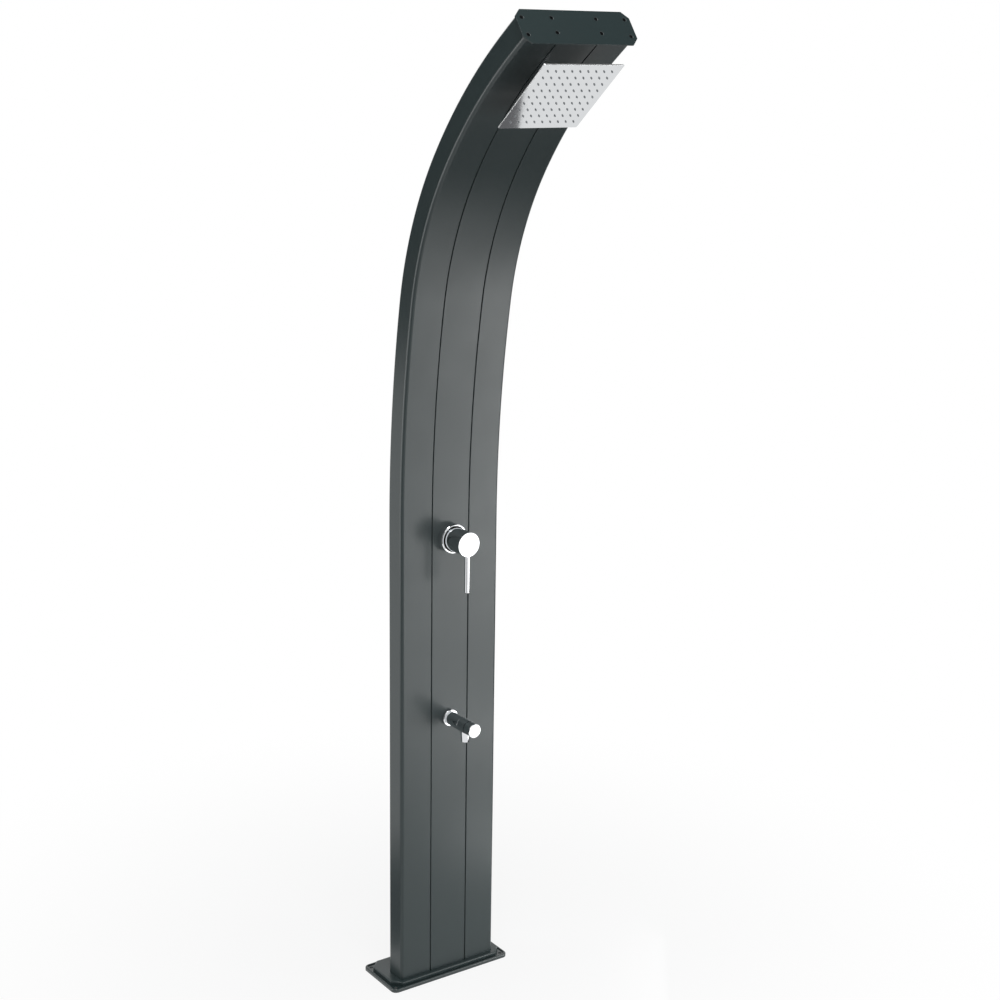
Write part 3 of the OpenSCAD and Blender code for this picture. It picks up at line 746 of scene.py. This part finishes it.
@dataclass
class TopCap:
    """The end plate on the upper end of the post, with its eight socket screws."""

    line: CentreLine
    gasket: float = 1.5
    plate: float = 3.0
    half_width: float = 141.3
    front: float = 43.0
    rear: float = 37.0
    corner_cut: float = 15.6
    screws: Outline = ((127.5, 18), (55, 18), (127.5, -22.5), (55, -16.5))
    head_radius: float = 4.1
    head_height: float = 2.2
    head_edge: float = 0.2
    shank_radius: float = 2.0
    drop: float = 0.5
    sink: Pair = (2.4, 2.6)
    socket: Pair = (1.7, 1.3)

    def places(self) -> list[Matrix]:
        """Where the screws stand on the plate."""
        return [Matrix.Translation((s * x, y, 0)) for s in (-1, 1) for x, y in self.screws]

    def end_plate(self) -> Piece:
        """Models the plate with cut corners and countersunk screw holes."""
        top, size = self.gasket + self.plate, (2 * self.half_width, self.front + self.rear)
        piece = Piece.slab("end_plate", size, (self.corner_cut, 1), self.gasket, top,
                           (self.rear - self.front) / 2)
        (radius, depth), above = self.sink, top + 0.1
        sink = Piece.turned("sink", [(0, top - depth), (radius, top - depth),
                                     (self.head_radius + 1, above), (0, above)], 32)
        return piece.cut(sink.repeated(self.places())).soften(0.45, 3)

    def socket_screw(self) -> Piece:
        """Models a countersunk screw with a hexagon socket."""
        top, edge = self.gasket + self.plate - self.drop, self.head_edge
        low, head, shank = top - self.head_height, self.head_radius, self.shank_radius
        screw = Piece.turned("cap_screws", [(0, low), (shank, low), (head, top - edge),
                                            (head - edge, top), (0, top)], 32)
        radius, depth = self.socket
        return screw.cut(Piece.disc("socket", radius, 6, top - depth).rise(3))

    def build(self) -> None:
        """Builds and dresses the end plate and its screws."""
        place = self.line.top()
        self.end_plate().deliver(POWDER_COAT, "post", "top_cap", place=place)
        screws = self.socket_screw().repeated(self.places())
        screws.deliver(BLACK_STEEL, "post", "top_screws", place=place)


@dataclass
class Mixer:
    """The single lever mixer. Its heights are over the front of the post."""

    line: CentreLine
    height: float = 1123.0
    pivot: float = 19.0
    seam: float = 0.1
    rosette: float = 35.3
    rosette_bore: float = 29.4
    rosette_edge: float = 1.5
    throat: Pair = (2.0, 3.6)
    dome: float = 25.8
    dome_bore: float = 24.2
    dome_arc: range = range(-16, 28, 4)
    handle: float = 28.5
    handle_start: float = 16.0
    handle_end: float = 78.0
    handle_wall: float = 2.2
    handle_floor: float = 4.0
    grub: Triple = (2.55, 8.0, 47.0)
    lever_out: float = 71.0
    lever: float = 6.0
    lever_start: float = 24.5
    lever_tip: float = 117.0
    lever_edge: float = 1.2

    def ring(self) -> Piece:
        """Models the rosette that covers the hole in the panel."""
        r, bore, edge = self.rosette, self.rosette_bore, self.rosette_edge
        low, top, (wide, deep) = self.seam, self.pivot, self.throat
        line = [(bore, low), (r, low), (r, top - edge), (r - edge, top), (bore + wide, top),
                (bore, top - deep), (bore, low)]
        return Piece.turned("mixer_ring", line, 96).soften(0.35, 3)

    def cap(self) -> Piece:
        """Models the ball-shaped collar that the handle tilts over."""
        angles = [math.radians(a) for a in self.dome_arc]
        outer = [(self.dome * math.cos(a), self.pivot + self.dome * math.sin(a)) for a in angles]
        inner = [(self.dome_bore, outer[-1][1] - 2), (self.dome_bore, outer[0][1])]
        return Piece.turned("mixer_collar", [*outer, *inner, outer[0]], 96)

    def grip(self) -> Piece:
        """Models the round handle, open towards the post, with the hole of its grub screw below."""
        r, low, end = self.handle, self.handle_start, self.handle_end
        bore, floor = r - self.handle_wall, end - self.handle_floor
        line = [(0, end), (r, end), (r, low), (bore, low), (bore, floor), (0, floor)]
        radius, depth, out = self.grub
        grip = Piece.turned("mixer_grip", line, 96).drill_below(radius, 24, depth - r, out)
        return grip.soften(0.8, 4)

    def stick(self) -> Piece:
        """Models the lever as a rod with a chamfered tip."""
        r, low, tip, edge = self.lever, self.lever_start, self.lever_tip, self.lever_edge
        line = [(0, low), (r, low), (r, tip - edge), (r - edge, tip), (0, tip)]
        return Piece.turned("mixer_lever_rod", line, 48).soften(0.25, 2)

    def build(self) -> None:
        """Builds and dresses the mixer."""
        place = self.line.front(self.height)
        down = place @ Matrix.Translation((0, 0, self.lever_out)) @ TO_FRONT
        self.ring().deliver(CHROME, "post", "mixer_rosette", place=place)
        self.cap().deliver(CHROME, "post", "mixer_dome", place=place)
        self.grip().deliver(CHROME, "mixer_grip", "mixer_handle", place=place)
        self.stick().deliver(CHROME, "mixer_grip", "mixer_lever", place=down)


@dataclass
class FootTap:
    """The tap for rinsing feet: an extension, a body with a short spout, and a turning end.

    Its heights are over the front of the post, and those of the spout are over the tap's axis.
    """

    line: CentreLine
    height: float = 676.0
    seam: float = 0.1
    rosette: float = 20.8
    rosette_bore: float = 16.7
    rosette_edge: float = 1.5
    rosette_end: float = 9.0
    barrel: float = 16.5
    body: float = 17.0
    body_start: float = 57.0
    body_end: float = 86.0
    body_edge: float = 0.8
    groove: Pair = (2.4, 1.0)
    knob_start: float = 86.4
    knob_end: float = 109.7
    knob_edges: Pair = (0.2, 1.2)
    grub: Triple = (1.55, 7.0, 6.6)
    spout_out: float = 69.5
    spout: Outline = ((12.6, 4), (10, 38))
    outlet: Pair = (7.8, 7.0)

    def ring(self) -> Piece:
        """Models the small rosette."""
        r, bore, edge = self.rosette, self.rosette_bore, self.rosette_edge
        low, top = self.seam, self.rosette_end
        line = [(bore, low), (r, low), (r, top - edge), (r - edge, top), (bore, top), (bore, low)]
        return Piece.turned("tap_ring", line).soften(0.3, 3)

    def neck(self) -> Piece:
        """Models the extension out of the post."""
        r, low, high = self.barrel, 2 * self.seam, self.body_start - self.seam
        return Piece.turned("tap_neck", [(0, low), (r, low), (r, high), (0, high)]).soften(0.3, 2)

    def shell(self) -> Piece:
        """Models the body with its spout, the drilled outlet and the groove at its end."""
        r, low, high, edge = self.body, self.body_start, self.body_end, self.body_edge
        deep, wide = self.groove
        body = Piece.turned("tap_shell", [(0, low), (r - edge, low), (r, low + edge), (r, high - wide),
                                          (r - deep, high - wide), (r - deep, high), (0, high)])
        root, tip = self.spout[0][1], self.spout[1][1]
        spout = Piece.turned("spout", [(0, root), *self.spout, (0, tip)], 64)
        turn = Matrix.Translation((0, 0, self.spout_out)) @ TO_FRONT
        body.cut(spout.stand(turn), "UNION")
        radius, depth = self.outlet
        drill = Piece.disc("outlet", radius, 48, tip - depth).rise(depth + 2)
        return body.cut(drill.stand(turn)).soften(0.3, 3)

    def knob(self) -> Piece:
        """Models the turning end, with the hole of its grub screw below."""
        r, low, high = self.body, self.knob_start, self.knob_end
        inner, outer = self.knob_edges
        line = [(0, low), (r - inner, low), (r, low + inner), (r, high - outer), (r - outer, high),
                (0, high)]
        radius, depth, out = self.grub
        knob = Piece.turned("tap_end", line).drill_below(radius, 20, depth - r, low + out)
        return knob.soften(0.25, 3)

    def build(self) -> None:
        """Builds and dresses the tap."""
        place = self.line.front(self.height)
        self.ring().deliver(CHROME, "post", "tap_rosette", place=place)
        self.neck().deliver(CHROME, "post", "tap_extension", place=place)
        self.shell().deliver(CHROME, "post", "tap_body", place=place)
        self.knob().deliver(CHROME, "tap_grip", "tap_knob", place=place)


@dataclass
class Overhead:
    """The overhead plate on its ball joint. Its outlines are points of radius and height.

    Heights are over the front of the post, but those of the nut over the ball's centre and those
    of the nozzle over the face sheet.
    """

    line: CentreLine
    ball_out: float = 24.0
    ball: float = 11.0
    ball_arc: range = range(36, 180, 6)
    neck: Pair = (5.5, 6.0)
    stem_nut: Triple = (27.0, 0.3, 7.7)
    nut_line: Outline = (
        (9.3, -7.2), (14.2, -7.2), (16.5, -3), (16.5, 12), (14.5, 12), (14.5, 5.5), (12.7, 0),
        (9.3, -7.2))
    hub_line: Outline = (
        (12.6, 29.4), (14.3, 29.4), (14.3, 38), (17, 41), (27, 45.5), (32, 46.5), (32, 50),
        (12.6, 50), (12.6, 29.4))
    plate_out: float = 50.0
    side: float = 200.0
    corner: float = 3.0
    seam: float = 0.05
    back_sheet: float = 1.9
    face_sheet: float = 0.8
    rows: int = 9
    nozzle_line: Outline = (
        (0, -0.5), (2.3, -0.5), (2.3, 0.15), (1.9, 0.4), (1.3, 2.7), (0.55, 2.7), (0.5, 1.8),
        (0, 1.8))

    def nipple(self) -> Piece:
        """Models the fixed hexagon with its neck and ball."""
        out, r = self.ball_out, self.ball
        angles = [math.radians(a) for a in self.ball_arc]
        arc = [(r * math.sin(a), out - r * math.cos(a)) for a in angles]
        radius, low = self.neck
        stem = Piece.turned("ball_stem", [(0, low), (radius, low), *arc, (0, out + r)], 48)
        nut = Piece.hexagon("stem_nut", self.stem_nut).settle()
        return stem.cut(nut, "UNION").soften(0.4, 2)

    def collar(self) -> Piece:
        """Models the nut that holds the ball."""
        line = [(r, self.ball_out + h) for r, h in self.nut_line]
        return Piece.turned("ball_collar", line, 64).soften(0.3, 3)

    def hub(self) -> Piece:
        """Models the raised hub with the cup of the ball joint."""
        return Piece.turned("plate_hub", self.hub_line, 64).soften(0.3, 2)

    def sheet(self, name: str, level: float, thickness: float) -> Piece:
        """Models one of the two sheets, with a fine seam under it."""
        return Piece.slab(name, (self.side, self.side), (self.corner, 5), level + self.seam,
                          level + thickness)

    def nozzles(self) -> Piece:
        """Models one soft nozzle and repeats it over the face."""
        face = self.plate_out + self.back_sheet + self.face_sheet
        one = Piece.turned("soft_nozzles", [(r, face + h) for r, h in self.nozzle_line], 12)
        pitch = self.side / (self.rows + 1)
        grid = [i * pitch - self.side / 2 for i in range(1, self.rows + 1)]
        return one.repeated([Matrix.Translation((x, y, 0)) for x in grid for y in grid])

    def build(self) -> None:
        """Builds and dresses the overhead plate."""
        place, out = self.line.head(), self.plate_out
        self.nipple().deliver(CHROME, "post", "head_nipple", place=place)
        self.collar().deliver(CHROME, "head", "ball_nut", place=place)
        self.hub().deliver(STEEL, "head", "head_hub", place=place)
        back = self.sheet("plate_back", out, self.back_sheet).soften(0.3, 2)
        back.deliver(STEEL, "head", "head_back_plate", place=place)
        face = self.sheet("plate_face", out + self.back_sheet, self.face_sheet).soften(0.25, 3)
        face.deliver(PLATE_STEEL, "head", "head_face_plate", place=place)
        self.nozzles().deliver(SILICONE, "head", "head_nozzles", place=place)


@dataclass
class WaterFittings:
    """The inlet and the drain plug at the foot of the back."""

    line: CentreLine
    inlet_height: float = 90.0
    bore: float = 6.0
    neck: float = 9.88
    neck_ends: Pair = (-2.0, 3.6)
    thread: float = 10.48
    thread_depth: float = 1.1
    thread_start: float = 4.4
    half_pitch: float = 0.9
    half_turns: int = 13
    inlet_end: float = 17.0
    inlet_nut: Triple = (27.0, 0.1, 3.4)
    drain_nut: Triple = (17.0, 0.05, 4.9)
    drain_place: Pair = (-112.0, 42.0)

    def inlet(self) -> Piece:
        """Models the threaded inlet with its hexagon."""
        crest, root = self.thread, self.thread - self.thread_depth
        turns = [(root if k % 2 else crest, self.thread_start + k * self.half_pitch)
                 for k in range(self.half_turns)]
        (low, shoulder), end, bore = self.neck_ends, self.inlet_end, self.bore
        line = [(bore, low), (self.neck, low), (self.neck, shoulder), *turns, (root, end),
                (bore, end), (bore, low)]
        tube = Piece.turned("inlet_thread", line, 64)
        nut = Piece.hexagon("inlet_hexagon", self.inlet_nut)
        nut.cut(Piece.disc("bore", bore + 1, 48, -1).rise(8))
        return tube.cut(nut.settle(), "UNION").soften(0.2, 2)

    def plug(self) -> Piece:
        """Models the hexagon head of the drain plug."""
        return Piece.hexagon("drain_screw", self.drain_nut).soften(0.5, 3)

    def build(self) -> None:
        """Builds and dresses the water fittings."""
        rear = self.line.rear
        self.inlet().deliver(STEEL, "post", "inlet_connector", place=rear(0, self.inlet_height))
        self.plug().deliver(STEEL, "post", "drain_plug", place=rear(*self.drain_place))


@dataclass(frozen=True)
class Sheet:
    """A soft box or a dark card. A box has a power in watts and a spread of light in degrees."""

    name: str
    place: Triple
    target: Triple
    size: Pair
    power: float = 0.0
    shade: Shade = Shade.FELT
    spread: float = 180.0

    def stand(self) -> Matrix:
        """The sheet's frame, which looks along -Z at its target."""
        ahead = Vector(self.target) - Vector(self.place)
        return Matrix.Translation(self.place) @ ahead.to_track_quat("-Z", "Y").to_matrix().to_4x4()


@dataclass
class Studio:
    """The floor, the light and the camera at the photograph's viewing angle.

    The eye is in millimetres, the angles are in degrees, and the rest is in metres.
    """

    eye: Triple = (-2171.87, -3325.95, 2211.76)
    yaw: float = 34.554
    pitch: float = 14.342
    roll: float = 0.641
    lens: float = 62.81
    sensor: float = 36.0
    shift: Pair = (0.0200, 0.0026)
    farthest: float = 60.0
    lamps: tuple[Sheet, ...] = (
        Sheet("key_lamp", (2.0, -2.28, 0.62), (0, -0.05, 0.8), (0.45, 1.1), 15.0),
        Sheet("low_panel", (0.87, -1.31, 0.37), (0, -0.05, 0.6), (0.85, 0.76), 3.9),
        Sheet("middle_strip", (0.88, -0.9, 0.12), (0, -0.05, 0.4), (0.6, 0.22), 0.32, spread=70.0),
        Sheet("floor_strip", (0.48, -0.4, 0.09), (0.05, -0.05, 0.35), (0.42, 0.16), 0.36),
        Sheet("left_fill", (-3.2, 1.4, 0.9), (0, -0.05, 0.9), (1.4, 1.6), 30.0),
        Sheet("high_lamp", (-0.6, -1.4, 4.8), (0, -0.1, 2.0), (1.6, 1.6), 80.0),
    )
    cards: tuple[Sheet, ...] = (
        Sheet("card_low_right", (1.95, -1.06, 0.02), (1.95, -1.06, 3.0), (2.5, 1.67)),
        Sheet("card_low_far", (2.6, 0.4, 0.02), (2.6, 0.4, 3.0), (1.2, 1.25)),
        Sheet("card_low_side", (1.09, 0.2, 0.02), (1.09, 0.2, 3.0), (0.75, 0.82),
              shade=Shade.GREY_CARD),
        Sheet("card_low_left", (-0.475, 0.33, 0.012), (-0.475, 0.33, 3.0), (0.55, 0.5),
              shade=Shade.GREY_CARD),
        Sheet("card_left", (-1.45, -1.1, 1.35), (0, -0.1, 1.35), (0.6, 2.6)),
        Sheet("card_high_left", (-1.0, 1.2, 2.0), (0, -0.1, 1.8), (1.6, 1.5)),
        Sheet("card_overhead", (0.8, -0.85, 3.3), (0, -0.5, 2.3), (1.6, 1.6)),
    )
    floor_size: float = 30.0
    sky: float = 0.3
    near_glow: float = 0.87
    fade: Pair = (0.25, 1.7)

    def camera(self) -> None:
        """Sets the camera up."""
        yaw, pitch, roll = (math.radians(a) for a in (self.yaw, self.pitch, self.roll))
        ahead = Vector((math.sin(yaw) * math.cos(pitch), math.cos(yaw) * math.cos(pitch),
                        -math.sin(pitch)))
        level = Vector((math.cos(yaw), -math.sin(yaw), 0))
        above = level.cross(ahead)
        right = math.cos(roll) * level + math.sin(roll) * above
        up = math.cos(roll) * above - math.sin(roll) * level
        turn = Matrix((right, up, -ahead)).transposed().to_4x4()
        data = bpy.data.cameras.new("camera")
        data.lens, data.sensor_width = self.lens, self.sensor
        data.shift_x, data.shift_y = self.shift
        data.clip_end = self.farthest
        obj = bpy.data.objects.new("camera", data)
        obj.matrix_world = Matrix.Translation(Vector(self.eye) * MM) @ turn
        bpy.context.scene.collection.objects.link(obj)
        bpy.context.scene.camera = obj

    @staticmethod
    def background_rays(nodes: Nodes) -> bpy.types.NodeSocket:
        """The rays that meet the white background: those of the camera, of mirrors and of glass."""
        rays = nodes.add("LightPath", {})
        pair = {0: rays["Is Glossy Ray"], 1: rays["Is Transmission Ray"]}
        shiny = nodes.add("Math", pair, "Value", operation="MAXIMUM")
        return nodes.add("Math", {0: rays["Is Camera Ray"], 1: shiny}, "Value", operation="MAXIMUM")

    def floor(self) -> None:
        """Lays the pale floor. It fades into the white background, and keeps the object's shadow."""
        Piece.clear_bench()
        bpy.ops.mesh.primitive_plane_add(size=self.floor_size)
        obj = bpy.context.active_object
        obj.name = "studio_floor"
        mat = bpy.data.materials.new("studio_floor")
        nodes = Nodes(mat)
        matte = nodes.add("BsdfDiffuse", {"Color": linear(Shade.FLOOR)}, "BSDF")
        glow = nodes.add("Emission", {"Color": WHITE, "Strength": 1.0}, "Emission")
        place = nodes.add("TexCoord", {}, "Object")
        away = nodes.add("VectorMath", {0: place}, "Value", operation="LENGTH")
        ends = {"Value": away, "From Min": self.fade[0], "From Max": self.fade[1],
                "To Min": self.near_glow, "To Max": 1.0}
        level = nodes.add("MapRange", ends, "Result", interpolation_type="SMOOTHSTEP")
        share = nodes.add("Math", {0: self.background_rays(nodes), 1: level}, "Value",
                          operation="MULTIPLY")
        both = nodes.add("MixShader", {0: share, 1: matte, 2: glow}, "Shader")
        nodes.add("OutputMaterial", {"Surface": both})
        obj.data.materials.append(mat)

    def world(self) -> None:
        """Lights the room evenly. The camera and mirror surfaces see it white."""
        world = bpy.data.worlds.new("studio")
        bpy.context.scene.world = world
        nodes = Nodes(world)
        ends = {"Value": self.background_rays(nodes), "To Min": self.sky, "To Max": 1.0}
        level = nodes.add("MapRange", ends, "Result")
        back = nodes.add("Background", {"Color": WHITE, "Strength": level}, "Background")
        nodes.add("OutputWorld", {"Surface": back})

    def light(self) -> None:
        """Hangs the soft boxes."""
        for lamp in self.lamps:
            data = bpy.data.lights.new(lamp.name, "AREA")
            data.shape, data.energy = "RECTANGLE", lamp.power
            data.size, data.size_y = lamp.size
            data.spread = math.radians(lamp.spread)
            obj = bpy.data.objects.new(lamp.name, data)
            obj.matrix_world = lamp.stand()
            bpy.context.scene.collection.objects.link(obj)

    def dark_cards(self) -> None:
        """Sets up the dark cards. They stand outside the picture, and only reflections show them."""
        for card in self.cards:
            felt = bpy.data.materials.new(card.name)
            nodes = Nodes(felt)
            matte = nodes.add("BsdfDiffuse", {"Color": linear(card.shade)}, "BSDF")
            nodes.add("OutputMaterial", {"Surface": matte})
            Piece.clear_bench()
            bpy.ops.mesh.primitive_plane_add(size=1)
            obj = bpy.context.active_object
            obj.name = obj.data.name = card.name
            obj.matrix_world = card.stand() @ Matrix.Diagonal((*card.size, 1, 1))
            bpy.ops.object.transform_apply(location=True, rotation=True, scale=True)
            obj.data.materials.append(felt)
            obj.visible_camera = obj.visible_diffuse = obj.visible_shadow = False

    def build(self) -> None:
        """Builds the studio."""
        self.camera()
        self.floor()
        self.world()
        self.light()
        self.dark_cards()
        bpy.context.scene.view_settings.view_transform = "Standard"


def dress_nodes() -> None:
    """Gives every CAD node the finish of its slot in the record."""
    finishes = {f.slot: f for f in FINISHES}
    for part in frame["record"]["subparts"]:
        obj = frame["nodes"][part["node"]]
        finish = finishes[part["material_slot"]]
        obj.data.materials.clear()
        obj.data.materials.append(finish.material())
        log.info("%s: %s", part["node"], finish.name)


def main() -> None:
    """Builds the studio and every sub-assembly."""
    logging.basicConfig(level=logging.INFO, format="%(name)s: %(message)s")
    line = CentreLine()
    Studio().build()
    dress_nodes()
    for part in (Extrusions(line), Base(line), TopCap(line), Mixer(line), FootTap(line),
                 Overhead(line), WaterFittings(line)):
        log.info("building %s", type(part).__name__)
        part.build()
    Piece.clear_bench()


if __name__ == "__main__":
    main()
